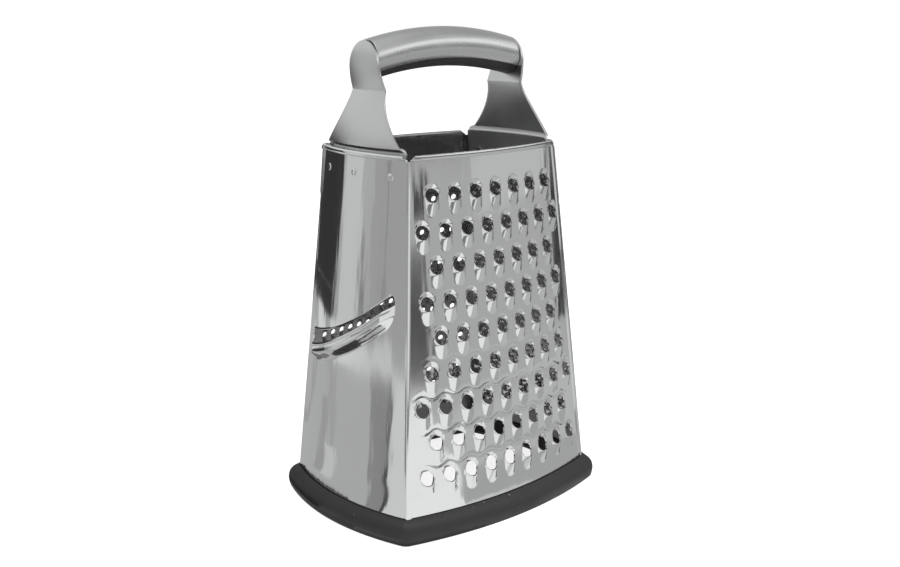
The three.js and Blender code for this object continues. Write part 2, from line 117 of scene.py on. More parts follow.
# %% Body plan and the panel function
FOOT_WIDTH, FOOT_DEPTH = 122.5, 90.8
RIM_WIDTH, RIM_DEPTH = 94.8, 66.8
FOOT_HEIGHT, BODY_HEIGHT = 11.3, 171.7
WIDE_BOW_FOOT, WIDE_BOW_RIM = 9.0, 5.7
NARROW_BOW_FOOT, NARROW_BOW_RIM = 8.3, 5.7
SHEET = 0.7
GAP = 0.3
RIM_Z = FOOT_HEIGHT + BODY_HEIGHT
SHEET_BOTTOM = 1000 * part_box("coarse_face")[0].z
TURNS = {"front": (1, 0), "right": (0, 1), "back": (-1, 0), "left": (0, -1)}
WIDE_FACES = ("front", "back")


def lerp(a, b, t):
    """The value a share t of the way from a to b."""
    return a + (b - a) * t


def ramp(x, low, high):
    """A straight step from 0 at low to 1 at high."""
    return np.clip((x - low) / (high - low), 0, 1)


def smooth(x, low, high):
    """An S-shaped step from 0 at low to 1 at high."""
    t = ramp(x, low, high)
    return t * t * (3 - 2 * t)


def face_plan(face, z):
    """Half width, distance of the corners from the axis and bow of a face at height z."""
    t = (z - FOOT_HEIGHT) / BODY_HEIGHT
    half_x = lerp(FOOT_WIDTH, RIM_WIDTH, t) / 2
    half_y = lerp(FOOT_DEPTH, RIM_DEPTH, t) / 2
    if face in WIDE_FACES:
        return half_x, half_y, lerp(WIDE_BOW_FOOT, WIDE_BOW_RIM, t)
    return half_y, half_x, lerp(NARROW_BOW_FOOT, NARROW_BOW_RIM, t)


def half_span(face, z):
    """Half width of a face at height z."""
    return face_plan(face, z)[0]


def skin_reach(face, s, z):
    """Distance of the skin from the axis: the corner's, plus a parabola across the face."""
    half, near, bow = face_plan(face, z)
    return near + bow * (1 - (s / half) ** 2)


def xyz(x, y, z):
    """Points from their coordinates."""
    return np.stack(np.broadcast_arrays(x, y, z), -1)


def turned(face, s, reach, z):
    """Points given across a face, out from the axis and up."""
    c, d = TURNS[face]
    return xyz(c * s + d * reach, d * s - c * reach, z)


def panel(face, s, z, lift=0.0):
    """Points of a face s across and z up, lifted off the skin along its normal, which comes from
    the slope across and from the lean over a millimetre of height."""
    half, _, bow = face_plan(face, z)
    lean = skin_reach(face, s, z + 0.5) - skin_reach(face, s, z - 0.5)
    slope = -2 * bow * s / half**2
    size = np.sqrt(1 + slope**2 + lean**2)
    return turned(face, s - lift * slope / size, skin_reach(face, s, z) + lift / size,
                  z - lift * lean / size)


foot_low, foot_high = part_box("foot_ring")
print("foot ring", round(1000 * (foot_high.x - foot_low.x), 1), "mm wide, rim at", RIM_Z, "mm")

# %% [markdown]
# ## Finishes
# The faces are polished sheet with faint rolling lines and finger smudges, and the handle is
# brushed to a satin. Pictures of scratches would tie the finish to one size, so noise makes it.
# Two node groups hold what the finishes share: streaks, which are noise stretched along one axis,
# and broad soft smudges. The rubber and the plastic have a fine grain and a little dust as well.

# %% Shared effects
NOISE_LOW, NOISE_HIGH = 0.35, 0.75


def adjust(node, **values):
    """Sets properties and inputs of a node by their names, with _ for a space in an input's."""
    for name, value in values.items():
        if hasattr(node, name):
            setattr(node, name, value)
        else:
            node.inputs[name.replace("_", " ")].default_value = value


def add(tree, kind, **values):
    """A new node with its values."""
    node = tree.nodes.new(kind)
    adjust(node, **values)
    return node


def wire(tree, *links):
    """Links nodes: each link is a node and its output, then a node and its input."""
    for source, output, target, entry in links:
        tree.links.new(source.outputs[output], target.inputs[entry])


def new_group(name, output, **inputs):
    """A shader node group with one value out, and the nodes at its two ends. Each input is given by
    its default, and a tuple makes it a vector."""
    group = bpy.data.node_groups.new(name, "ShaderNodeTree")
    for label, default in inputs.items():
        kind = "NodeSocketVector" if isinstance(default, tuple) else "NodeSocketFloat"
        group.interface.new_socket(label, in_out="INPUT", socket_type=kind).default_value = default
    group.interface.new_socket(output, in_out="OUTPUT", socket_type="NodeSocketFloat")
    return group, add(group, "NodeGroupInput"), add(group, "NodeGroupOutput")


def streak_group():
    """Fine parallel lines: noise on coordinates squeezed along the way that the lines run."""
    group, ins, outs = new_group(
        "steel_streaks", "Height", Vector=(0, 0, 0), Squeeze=(1, 1, 1), Scale=2500.0)
    squeeze = add(group, "ShaderNodeVectorMath", operation="MULTIPLY")
    noise = add(group, "ShaderNodeTexNoise", noise_dimensions="3D", Detail=3.0, Roughness=0.6)
    wire(group, (ins, "Vector", squeeze, 0), (ins, "Squeeze", squeeze, 1),
         (squeeze, 0, noise, "Vector"), (ins, "Scale", noise, "Scale"),
         (noise, "Fac", outs, "Height"))
    return group


def smudge_group():
    """A roughness that wanders between two values in broad soft patches."""
    group, ins, outs = new_group(
        "steel_smudges", "Roughness", Vector=(0, 0, 0), Scale=30.0, Clean=0.1, Smudged=0.2)
    noise = add(group, "ShaderNodeTexNoise", Detail=4.0, Roughness=0.55)
    spread = add(group, "ShaderNodeMapRange", interpolation_type="SMOOTHSTEP",
                 From_Min=NOISE_LOW, From_Max=NOISE_HIGH)
    wire(group, (ins, "Vector", noise, "Vector"), (ins, "Scale", noise, "Scale"),
         (noise, "Fac", spread, "Value"), (ins, "Clean", spread, "To Min"),
         (ins, "Smudged", spread, "To Max"), (spread, "Result", outs, "Roughness"))
    return group


STREAKS = streak_group()
SMUDGES = smudge_group()
print("shared effects:", STREAKS.name, SMUDGES.name)

# %% Steel
WAVE_SQUEEZE, WAVE_SCALE = (1.0, 1.0, 0.12), 55.0


def new_finish(name):
    """A node material with its Principled shader, and Object coordinates to place patterns."""
    material = bpy.data.materials.new(name)
    material.use_nodes = True
    tree = material.node_tree
    return material, tree, tree.nodes["Principled BSDF"], add(tree, "ShaderNodeTexCoord")


def group_node(tree, group, place, **values):
    """One use of a shared effect, with its own values."""
    node = add(tree, "ShaderNodeGroup", node_tree=group, **values)
    wire(tree, (place, "Object", node, "Vector"))
    return node


def steel_finish(name, colour, clean, smudged, squeeze, streak_scale, depth, wave_depth):
    """Metal with smudged roughness, and bumps for its streaks and for the broad waves of the sheet,
    each of the given depth in metres."""
    material, tree, shader, place = new_finish(name)
    adjust(shader, Base_Color=(*colour, 1), Metallic=1.0)
    smudges = group_node(tree, SMUDGES, place, Clean=clean, Smudged=smudged)
    streaks = group_node(tree, STREAKS, place, Squeeze=squeeze, Scale=streak_scale)
    bump = add(tree, "ShaderNodeBump", Strength=1.0, Distance=depth)
    waves = group_node(tree, STREAKS, place, Squeeze=WAVE_SQUEEZE, Scale=WAVE_SCALE)
    roll = add(tree, "ShaderNodeBump", Strength=1.0, Distance=wave_depth)
    wire(tree, (smudges, "Roughness", shader, "Roughness"), (waves, "Height", roll, "Height"),
         (roll, "Normal", bump, "Normal"), (streaks, "Height", bump, "Height"),
         (bump, "Normal", shader, "Normal"))
    return material


POLISHED = steel_finish("polished_steel", (0.74, 0.745, 0.75), clean=0.07, smudged=0.14,
                        squeeze=(1.0, 1.0, 0.02), streak_scale=900.0, depth=4e-6, wave_depth=4e-4)
# Inside the box the steel is rougher, and its darker colour is painted shade of the closed box.
INSIDE_PAINTED_SHADE = steel_finish("inside_steel_painted_shade", (0.47, 0.47, 0.475), clean=0.14, smudged=0.22,
                      squeeze=(1.0, 1.0, 0.02), streak_scale=900.0, depth=8e-6, wave_depth=2e-4)
SATIN = steel_finish("satin_steel", (0.62, 0.625, 0.63), clean=0.26, smudged=0.34,
                     squeeze=(0.03, 1.0, 1.0), streak_scale=1600.0, depth=1.2e-5, wave_depth=5e-5)
print("steel finishes:", [m.name for m in (POLISHED, INSIDE_PAINTED_SHADE, SATIN)])

# %% Rubber and plastic
DUST_SCALE, DUST_EDGE = 700.0, 0.05
GRAIN_SCALE = 2600.0
SMUDGE_SPAN = 0.15


def moulded_finish(name, colour, dusty, dust_level, roughness, grain):
    """Matte black moulding: a fine grain, and a few pale dust specks where noise peaks."""
    material, tree, shader, place = new_finish(name)
    dust = add(tree, "ShaderNodeTexNoise", Scale=DUST_SCALE, Detail=1.0)
    peaks = add(tree, "ShaderNodeMapRange", From_Min=dust_level, From_Max=dust_level + DUST_EDGE)
    mix = add(tree, "ShaderNodeMix", data_type="RGBA", A=(*colour, 1), B=(*dusty, 1))
    smudges = group_node(tree, SMUDGES, place, Clean=roughness, Smudged=roughness + SMUDGE_SPAN)
    fine = add(tree, "ShaderNodeTexNoise", Scale=GRAIN_SCALE, Detail=2.0)
    bump = add(tree, "ShaderNodeBump", Strength=1.0, Distance=grain)
    wire(tree, (place, "Object", dust, "Vector"), (dust, "Fac", peaks, "Value"),
         (peaks, "Result", mix, "Factor"), (mix, "Result", shader, "Base Color"),
         (smudges, "Roughness", shader, "Roughness"), (place, "Object", fine, "Vector"),
         (fine, "Fac", bump, "Height"), (bump, "Normal", shader, "Normal"))
    return material


RUBBER = moulded_finish("foot_rubber", (0.016, 0.016, 0.017), dusty=(0.35, 0.35, 0.34),
                        dust_level=0.76, roughness=0.5, grain=2e-5)
PLASTIC = moulded_finish("grip_plastic", (0.03, 0.03, 0.031), dusty=(0.2, 0.2, 0.2),
                         dust_level=0.8, roughness=0.38, grain=1e-5)
print("moulded finishes:", RUBBER.name, PLASTIC.name)

# %% [markdown]
# ## From grids to sheet metal
# Sheet metal is a skin with a thickness. It could be built with all its sides at once, but a skin
# is simpler: patches, which are grids whose columns run right and whose rows run up as seen from
# outside, are welded where they share a border, and Blender's Solidify thickens them inwards.

# %% Patches, welding and thickening
WELD = 2e-6
SHARP_DEGREES, EASE_DEGREES = 32, 50


def new_piece(name, patches, *finishes, closed=False):
    """One welded mesh from patches of shape (..., rows, columns, 3) in millimetres, with the open
    ends of a tube filled where it is closed."""
    points, quads, start = [], [], 0
    for patch in patches:
        rows, columns = patch.shape[-3:-1]
        corner = (np.arange(rows - 1)[:, None] * columns + np.arange(columns - 1)).ravel()
        cell = np.stack([corner, corner + 1, corner + columns + 1, corner + columns], -1)
        flat = patch.reshape(-1, 3)
        bases = start + np.arange(0, len(flat), rows * columns)
        quads.append((bases[:, None, None] + cell).reshape(-1, 4))
        points.append(flat)
        start += len(flat)
    mesh = bpy.data.meshes.new(name)
    mesh.from_pydata(np.concatenate(points) * MM, [], np.concatenate(quads))
    work = bmesh.new()
    work.from_mesh(mesh)
    bmesh.ops.remove_doubles(work, verts=work.verts, dist=WELD)
    if closed:
        bmesh.ops.holes_fill(work, edges=work.edges, sides=0)
    work.to_mesh(mesh)
    work.free()
    for finish in finishes:
        mesh.materials.append(finish)
    piece = bpy.data.objects.new(name, mesh)
    bpy.context.scene.collection.objects.link(piece)
    return piece


def thicken(piece, thickness, bevel=0.0):
    """Turns a skin into sheet metal, with its second finish inside and its edges eased."""
    wall = piece.modifiers.new("sheet", "SOLIDIFY")
    wall.thickness = thickness * MM
    wall.offset = -1
    wall.material_offset = len(piece.data.materials) - 1
    if bevel:
        ease = piece.modifiers.new("eased_edges", "BEVEL")
        ease.width = bevel * MM
        ease.segments = 2
        ease.angle_limit = math.radians(EASE_DEGREES)
    shaped = piece.evaluated_get(bpy.context.evaluated_depsgraph_get())
    mesh = bpy.data.meshes.new_from_object(shaped)
    piece.modifiers.clear()
    piece.data = mesh


def finished(piece, slot, *nodes):
    """Smooths a piece, lets it ride with the body and names the solids that it stands for."""
    piece.data.shade_smooth()
    piece.data.set_sharp_from_angle(angle=math.radians(SHARP_DEGREES))
    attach(piece, "root")
    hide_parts(*nodes)
    triangles = sum(len(p.vertices) - 2 for p in piece.data.polygons)
    print(piece.name, triangles, "triangles, stands for", ", ".join(nodes))


def steel_face(name, patches, node):
    """One face of the body: sheet metal that is polished outside, and rougher inside with a darker
    colour that is painted shade.
    """
    sheet = new_piece(name, patches, POLISHED, INSIDE_PAINTED_SHADE)
    thicken(sheet, SHEET)
    finished(sheet, "polished_steel", node)


print("edges turning more than", SHARP_DEGREES, "degrees stay sharp")

# %% [markdown]
# ## One punched tooth
# A punch leaves a hole in a shallow capsule: above the hole the sheet is pressed in, below it the
# sheet stands out as a tooth that runs down into a tail. Cutting holes with a Boolean leaves
# slivers, so each tooth fills one brick of a wall: spokes run from the hole's edge to the capsule's
# outline and on to the border, where the bricks of neighbouring rows weld together.

# %% One punched brick


@dataclass
class Punch:
    """Sizes of a punched pattern, in millimetres, and the steps of one brick."""
    pitch: float  # between holes of a row
    row_pitch: float  # between rows
    first_row: float  # first row over the foot
    side: float  # least room from a hole to the corner
    hole: float  # diameter
    half_width: float  # of the capsule
    above: float  # its end over the hole's middle
    below: float  # its end under the hole's middle
    lip: float  # height of the tooth
    dimple: float  # depth over the hole
    across: int  # steps along a row border
    up: int  # steps along a side
    inner: int  # rings in the capsule
    outer: int  # rings round it
    wave: float = 0.0  # height of the border's wave
    groove: float = 0.0  # depth of its crease


ARCH_POWER, DIMPLE_POWER = 2.1, 1.5
ROUND_POWER, SQUARE_POWER = 2.2, 2.7
POINT_TIPS, TIP_NOTCH, POINT_POWER = 4, 0.15, 1.3
GROOVE_WIDTH = 0.8
TINY = 1e-9


def brick_top(punch):
    """Height of a brick's upper border over its hole; the capsule is centred in the brick."""
    return (punch.row_pitch + punch.above - punch.below) / 2


def outline_power(rise):
    """Roundness of the capsule: close to an ellipse above the hole and squarer below it."""
    return np.where(rise > 0, ROUND_POWER, SQUARE_POWER)


def tooth_lift(p, q, punch):
    """Height of a tooth off the sheet: a straight ramp up its tail to the lip, a turn over the
    hole and a ramp down into the dimple, times an arch across the capsule."""
    hole = punch.hole / 2
    tail = punch.lip * (q + punch.below) / (punch.below - hole)
    dimple = -punch.dimple * ramp(q, punch.above, hole) ** DIMPLE_POWER
    turn_over = lerp(punch.lip, -punch.dimple, smooth(q, -hole, hole))
    along = np.where(q < -hole, tail, np.where(q > hole, dimple, turn_over))
    end = np.where(q > 0, punch.above, punch.below)
    power = outline_power(q)
    width = punch.half_width * np.maximum(1 - np.abs(q / end) ** power, TINY) ** (1 / power)
    return along * (1 - np.minimum(np.abs(p / width), 1) ** ARCH_POWER)


def point_lift(p, q, punch):
    """Height of a burst point: a cone with torn tips round its hole."""
    tips = 1 - TIP_NOTCH * (1 + np.cos(POINT_TIPS * np.arctan2(q, p)))
    return punch.lip * tips * ramp(np.hypot(p, q), punch.half_width, punch.hole / 2) ** POINT_POWER


def brick(punch, lift_of):
    """Offsets across and up from the hole's middle, and lifts, on a grid of spokes and rings. The
    borders between rows follow a cosine wave; the last array is 1 on the upper and -1 on the lower."""
    high = brick_top(punch)
    low = high - punch.row_pitch
    run = np.linspace(punch.pitch / 2, -punch.pitch / 2, punch.across + 1)[:-1]
    wave = punch.wave * np.cos(2 * math.pi * run / punch.pitch)
    side = np.full(punch.up, punch.pitch / 2)
    rise = np.linspace(low + punch.wave, high - punch.wave, punch.up + 1)
    p = np.concatenate([side, run, -side, -run, side[:1]])[:, None]
    q = np.concatenate([rise[:-1], high + wave, rise[:0:-1], low - wave, rise[:1]])[:, None]
    corner, along = np.eye(1, punch.up)[0], np.ones(punch.across)
    crease = np.concatenate([-corner, along, corner, -along, [-1]])[:, None]
    angle = np.arctan2(q, p)
    c, d = np.cos(angle), np.sin(angle)
    end = np.where(d > 0, punch.above, punch.below)
    power = outline_power(d)
    outline = (np.abs(c / punch.half_width) ** power + np.abs(d / end) ** power) ** (-1 / power)
    inner = lerp(punch.hole / 2, outline, np.linspace(0, 1, punch.inner + 1))
    border = np.hypot(p, q)
    flat = lerp(outline, border - GROOVE_WIDTH, np.linspace(0, 1, punch.outer)[1:])
    lift = np.concatenate([lift_of(inner * c, inner * d, punch), 0 * flat, 0 * border], 1)
    radius = np.concatenate([inner, flat, border], 1)
    return radius * c, radius * d, lift, np.concatenate([0 * inner, 0 * flat, crease], 1)


COARSE = Punch(pitch=12.3, row_pitch=16.83, first_row=18.0, side=7.1, hole=6.7, half_width=3.75,
               above=6.2, below=10.4, lip=2.0, dimple=1.3, across=12, up=14, inner=8, outer=3,
               wave=1.0, groove=0.27)
print("a coarse brick has a grid of", brick(COARSE, tooth_lift)[0].shape, "points")

# %% [markdown]
# ## Rows of teeth
# Each row is shifted by half a pitch, and between the lower rows of the coarse face the sheet keeps
# a wavy crease. An Array modifier could copy one brick, but the copies wouldn't follow the bow and
# the taper. So a whole row goes through the panel function at once, and strips of plain sheet join
# the rows to the edges, the foot and the rim.

# %% Rows and creases
TOP_MARGIN = 16.0
FOLD_START = 0.8
CREASE_LOW, CREASE_HIGH = 66, 124


def sheet_edge(face, z):
    """Half width of the flat sheet, which ends just short of the corner's bend."""
    return half_span(face, z) - FOLD_START


def pattern_rows(face, punch):
    """Heights of the rows of holes and how many holes each has; odd rows shift half a pitch."""
    room = BODY_HEIGHT - TOP_MARGIN - punch.first_row
    row = np.arange(math.ceil(room / punch.row_pitch))
    z = FOOT_HEIGHT + punch.first_row + row * punch.row_pitch
    fits = (half_span(face, z) - punch.side) / punch.pitch
    count = np.where(row % 2, 2 * np.floor(fits + 0.5), 2 * np.floor(fits) + 1).astype(int)
    return z, count


def crease_rise(punch, middle, reach, s):
    """The wave of the crease between two rows: it crests over the hole at middle and over each like
    it, and stays level past reach, where the longer row ends."""
    return punch.wave * np.cos(2 * math.pi * (np.minimum(np.abs(s), reach) - middle) / punch.pitch)


def crease_lift(punch, depth, reach, s):
    """The groove along a crease, which fades out over the last pitch before the rows end."""
    return -depth * (1 - smooth(np.abs(s), reach - punch.pitch, reach))


print("coarse rows of", pattern_rows("front", COARSE)[1].tolist(), "holes")

# %% Plain sheet round the rows
MARGIN_STEPS = 2
PLAIN_STEPS = 10
# Hem section: distance off the skin, height under the rim and cut-back at the corner
HEM_SECTION = np.array([
    [0.0, 2.8, 0.0], [0.25, 2.55, 0.3], [0.7, 2.35, 0.5], [0.95, 1.9, 0.9], [1.0, 1.4, 1.4],
    [0.95, 0.8, 2.0], [0.7, 0.25, 2.5], [0.2, 0.0, 2.8], [-0.3, 0.15, 2.7], [-0.65, 0.7, 2.1],
    [-0.7, 1.5, 1.3], [-0.7, 2.6, 0.2]])
HEM_OFF, HEM_UNDER, HEM_CUT = HEM_SECTION.T
HEM_Z = RIM_Z - HEM_UNDER


def border_line(punch, own, reach, edge):
    """Places across from the end of a row of bricks to the sheet's edge. Where the row beyond
    the border is longer, its brick steps are repeated; where it is shorter, they fold to none."""
    step = np.linspace(own, reach, punch.across // 2 + 1)
    rest = np.linspace(step[-1], edge, MARGIN_STEPS + 1)[1:]
    return np.concatenate([step, rest])


def row_margin(face, punch, z_low, z_high, middle, own, reach, depth):
    """Plain sheet beside one row of bricks, on both sides of the face."""
    low = border_line(punch, own, reach[0], sheet_edge(face, z_low))
    high = border_line(punch, own, reach[1], sheet_edge(face, z_high))
    low_z = z_low + crease_rise(punch, middle + punch.pitch / 2, reach[0], low)
    high_z = z_high + crease_rise(punch, middle, reach[1], high)
    t = np.linspace(0, 1, punch.up + 1)[:, None]
    s = lerp(low, high, t)
    z = lerp(low_z, high_z, t)
    lift = np.where(t == 0, crease_lift(punch, depth[0], reach[0], low),
                    np.where(t == 1, crease_lift(punch, depth[1], reach[1], high), 0))
    return [panel(face, s, z, lift), panel(face, -s[:, ::-1], z[:, ::-1], lift[:, ::-1])]


def full_line(face, punch, own, z):
    """Places across the whole face along the outer border of the first or last row."""
    bricks = np.linspace(-own, own, int(round(2 * own / punch.pitch)) * punch.across + 1)
    side = border_line(punch, own, own, sheet_edge(face, z))
    return np.concatenate([-side[:0:-1], bricks, side[1:]])


def rim_patch(face, line, z_line, rise):
    """Plain sheet from the wavy border of the last row up to the rim, ending in the rolled hem."""
    plain = np.linspace(z_line, HEM_Z[0], PLAIN_STEPS)[:-1]
    z = np.concatenate([plain, HEM_Z])[:, None]
    lift = np.concatenate([0 * plain, HEM_OFF])[:, None]
    cut = np.concatenate([0 * plain, HEM_CUT])[:, None]
    share = ramp(z, plain[-1], z_line)
    s = line / line[-1] * (sheet_edge(face, z) - cut)
    return panel(face, s, z + share * rise, lift)


def foot_patch(face, line, z_line, rise):
    """Plain sheet from its lower edge, inside the foot, up to the wavy border of the first row."""
    share = np.linspace(0, 1, PLAIN_STEPS)[:, None]
    z = lerp(SHEET_BOTTOM, z_line, share)
    return panel(face, line / line[-1] * sheet_edge(face, z), z + share * rise)


print("the hem is rolled from", len(HEM_SECTION), "points and stands", HEM_UNDER[0], "mm tall")

# %% A whole punched face


def punched_face(face, punch, lift_of):
    """All patches of a punched face, and the heights of the points along its edges."""
    z_rows, counts = pattern_rows(face, punch)
    p, q, lift, crease = brick(punch, lift_of)
    low = brick_top(punch) - punch.row_pitch
    ends = counts * punch.pitch / 2
    reach = np.maximum(np.append(0, ends), np.append(ends, 0))
    borders = z_rows[0] + low + punch.row_pitch * np.arange(len(z_rows) + 1)
    depth = punch.groove * (1 - smooth(borders, CREASE_LOW, CREASE_HIGH)) * (borders > borders[0])
    patches, edge_z = [], []
    for row, (z, count, own) in enumerate(zip(z_rows, counts, ends)):
        near = slice(row, row + 2)
        middles = (np.arange(count) - (count - 1) / 2) * punch.pitch
        s = middles[:, None, None] + p
        dip = np.where(crease > 0, crease_lift(punch, depth[row + 1], reach[row + 1], s),
                       np.where(crease < 0, crease_lift(punch, depth[row], reach[row], s), 0))
        patches.append(panel(face, s, z + q, lift + dip))
        rise = np.linspace(z + low, z + low + punch.row_pitch, punch.up + 1)
        patches += row_margin(face, punch, rise[0], rise[-1], middles[0], own, reach[near], depth[near])
        edge_z.append(rise)
    first, last = edge_z[0][0], edge_z[-1][-1]
    line = full_line(face, punch, ends[0], first)
    patches.append(foot_patch(face, line, first, crease_rise(punch, ends[0], ends[0], line)))
    line = full_line(face, punch, ends[-1], last)
    wave = crease_rise(punch, ends[-1] - punch.pitch / 2, ends[-1], line)
    patches.append(rim_patch(face, line, last, wave))
    plain_low = np.linspace(SHEET_BOTTOM, first, PLAIN_STEPS)
    plain_top = np.linspace(last, HEM_Z[0], PLAIN_STEPS)
    print(face, "face:", counts.sum(), "holes")
    return patches, np.concatenate([plain_low, *edge_z, plain_top])


coarse_patches, _ = punched_face("front", COARSE, tooth_lift)
steel_face("coarse_sheet", coarse_patches, "coarse_face")

# %% [markdown]
# ## Medium face
# The back has the same teeth at about half the size. The photograph hardly shows it, so its sizes
# are the usual ones. The same function makes it, with fewer steps to each of its small bricks.

# %% Medium face, at the back
MEDIUM = Punch(pitch=6.4, row_pitch=9.25, first_row=14.0, side=5.4, hole=3.3, half_width=1.95,
               above=3.2, below=5.6, lip=1.1, dimple=0.6, across=4, up=4, inner=3, outer=1)
medium_patches, _ = punched_face("back", MEDIUM, tooth_lift)
steel_face("medium_sheet", medium_patches, "medium_face")

# %% [markdown]
# ## Narrow faces and corner folds
# The narrow faces are bent round the corners and folded over the edges of the wide ones, which
# leaves a bright strip and a dark seam. A Bevel could round the corner but couldn't lay one sheet
# over another, so the bend is a quadratic curve from the narrow skin to a strip that stands off
# the wide one.

# %% Corner folds
FOLD_WIDTH = 2.4
FOLD_LIFT = 0.55
BEND_STEPS, FOLD_STEPS = 6, 2
FOLD_SIDES = {"left": {-1: ("back", 1), 1: ("front", -1)},
              "right": {-1: ("front", 1), 1: ("back", -1)}}


def corner_folds(face, edge_z):
    """Strips that carry a narrow face round both corners, at the heights of its edge points."""
    z = edge_z[:, None]
    strips = []
    for edge, (wide, end) in FOLD_SIDES[face].items():
        start = panel(face, edge * sheet_edge(face, z), z)
        knee = panel(wide, end * half_span(wide, z), z, FOLD_LIFT)
        after = panel(wide, end * (half_span(wide, z) - FOLD_START), z, FOLD_LIFT)
        t = np.linspace(0, 1, BEND_STEPS + 1)[None, :, None]
        bend = (1 - t) ** 2 * start + 2 * t * (1 - t) * knee + t**2 * after
        rest = np.linspace(FOLD_START, FOLD_WIDTH, FOLD_STEPS + 1)[None, 1:]
        flat = panel(wide, end * (half_span(wide, z) - rest), z, FOLD_LIFT)
        strip = np.concatenate([bend, flat], 1)
        strips.append(strip if edge > 0 else strip[:, ::-1])
    return strips


print("folds lie", FOLD_WIDTH, "mm over the wide faces")

# %% [markdown]
# ## Fine face
# The far narrow face is burst through with hundreds of small points, whose torn tips rasp. They
# could be cones set on the sheet, but as bricks, with a cone in place of the capsule, they weld to
# it and use the same rows.

# %% Fine face, on the far side
FINE = Punch(pitch=6.2, row_pitch=3.1, first_row=12.0, side=4.6, hole=1.5, half_width=1.45,
             above=1.45, below=1.45, lip=0.85, dimple=0.0, across=4, up=2, inner=2, outer=1)
fine_patches, fine_edge = punched_face("right", FINE, point_lift)
steel_face("fine_sheet", fine_patches + corner_folds("right", fine_edge), "fine_face")

# %% [markdown]
# ## Slicing face
# One long slot slants across this face, and the sheet under it is pressed out into a blade: a
# bevel under the edge, a crease and a wall that runs back into the sheet. Cutting the slot out
# afterwards would leave a ragged edge. Here the grid's rows follow the blade, so the slot is just
# the space between two rows that meet at its ends.

# %% Slot and blade
SLOT_OVER_FOOT, SLOT_MARGIN, SLOT_OFFSET = 86.7, 6.3, 1.5
SLOT_RISE, SLOT_SAG, SLOT_OPENING = 31.0, 6.2, 6.6
SLOT_Z = FOOT_HEIGHT + SLOT_OVER_FOOT
SLOT_HALF = half_span("left", SLOT_Z) - SLOT_MARGIN
SLOT_FIRST, SLOT_LAST = -SLOT_HALF - SLOT_OFFSET, SLOT_HALF - SLOT_OFFSET
LOW_ROUND, HIGH_ROUND = 1.6, 3.3
LIP_REACH, LIP_BEVEL, LIP_UNDER = 5.0, 4.6, 5.0
LIP_DEPTH = LIP_BEVEL + LIP_UNDER
LIP_LOW_END, LIP_HIGH_END = 11.0, 5.0
LIP_EDGE_DEPTH, LIP_EDGE_TURN = 0.9, 0.36
BEVEL_HOLLOW, WALL_EASE = 0.25, 0.5


def blade_height(t):
    """Height of the blade's edge along the slot, whose ends are at -1 and 1."""
    t = np.clip(t, -1, 1)
    return SLOT_Z + SLOT_RISE / 2 * t - SLOT_SAG * (1 - t * t)


def end_distance(t):
    """Distance from the nearer end of the slot."""
    return SLOT_HALF * (1 - np.abs(np.clip(t, -1, 1)))


def slot_height(t):
    """Clear height of the slot, which is square at its low end and round at its high end."""
    into = ramp(end_distance(t), np.where(t < 0, LOW_ROUND, HIGH_ROUND), 0)
    return SLOT_OPENING * np.sqrt(1 - into**2)


def lip_lift(drop, t):
    """How far the sheet is pressed out at a depth under the blade's edge: a pocket with rounded
    corners, whose wall rises to a hollow bevel, with the sheet turned in along the edge."""
    from_end = np.minimum(end_distance(t) / np.where(t < 0, LIP_LOW_END, LIP_HIGH_END), 1)
    from_foot = np.minimum((LIP_DEPTH - drop) / LIP_UNDER, 1)
    wall = np.clip(1 - np.hypot(1 - from_end, 1 - from_foot), 0, 1)
    eased = lerp(wall, smooth(wall, 0, 1), WALL_EASE)
    down = ramp(drop, 0, LIP_BEVEL)
    turn_in = LIP_EDGE_TURN * ramp(drop, LIP_EDGE_DEPTH, 0)
    return LIP_REACH * eased - (4 * BEVEL_HOLLOW * down * (1 - down) + turn_in) * from_end


print("slot", round(2 * SLOT_HALF, 1), "mm long, its blade", LIP_REACH, "mm out")

# %% Slicing face
EDGE_DEPTH, EDGE_TURN = 0.5, 0.3
CREASE_STEP = 0.4
SLOT_STEPS, SIDE_STEPS, LIP_STEPS, FACE_STEPS, EDGE_STEPS = 90, 8, 33, 28, 3


def slicing_columns():
    """Places across at the slot's height: plain sheet, the slot's length, plain sheet. Cosine steps
    bring the columns close together at the slot's ends."""
    edge = sheet_edge("left", SLOT_Z)
    side = np.linspace(0, 1, SIDE_STEPS + 1)
    along = (1 - np.cos(np.linspace(0, math.pi, SLOT_STEPS + 1))) / 2
    return np.concatenate([lerp(-edge, SLOT_FIRST, side[:-1]), lerp(SLOT_FIRST, SLOT_LAST, along),
                           lerp(SLOT_LAST, edge, side[1:])])


def to_taper(s, z):
    """Stretches the plain sheet beside the slot out to the body's taper; the slot stays as it is."""
    edge = sheet_edge("left", z)
    middle = sheet_edge("left", SLOT_Z)
    left = SLOT_FIRST + (s - SLOT_FIRST) * (-edge - SLOT_FIRST) / (-middle - SLOT_FIRST)
    right = SLOT_LAST + (s - SLOT_LAST) * (edge - SLOT_LAST) / (middle - SLOT_LAST)
    return np.where(s < SLOT_FIRST, left, np.where(s > SLOT_LAST, right, s))


columns = slicing_columns()
along = (columns + SLOT_OFFSET) / SLOT_HALF
blade = blade_height(along)
share = np.linspace(0, 1, FACE_STEPS + 1)[:, None]
drop = np.linspace(LIP_DEPTH, 0, LIP_STEPS + 1)[:, None]
low_z = np.concatenate([lerp(SHEET_BOTTOM, blade - LIP_DEPTH - CREASE_STEP, share), blade - drop])
low_drop = np.concatenate([np.full_like(share, LIP_DEPTH), drop])
low_patch = panel("left", to_taper(columns, low_z), low_z, lip_lift(low_drop, along))

slot_top = blade + slot_height(along)
first = np.linspace(0, EDGE_DEPTH, EDGE_STEPS + 1)[:, None]
plain_low = slot_top + EDGE_DEPTH + CREASE_STEP
plain_z = np.concatenate([slot_top + first, lerp(plain_low, HEM_Z[0], share)])
flare = EDGE_TURN * ramp(plain_z - slot_top, EDGE_DEPTH, 0) * np.minimum(end_distance(along), 1)
plain_s = to_taper(columns, plain_z)
plain_patch = panel("left", plain_s, plain_z, flare)

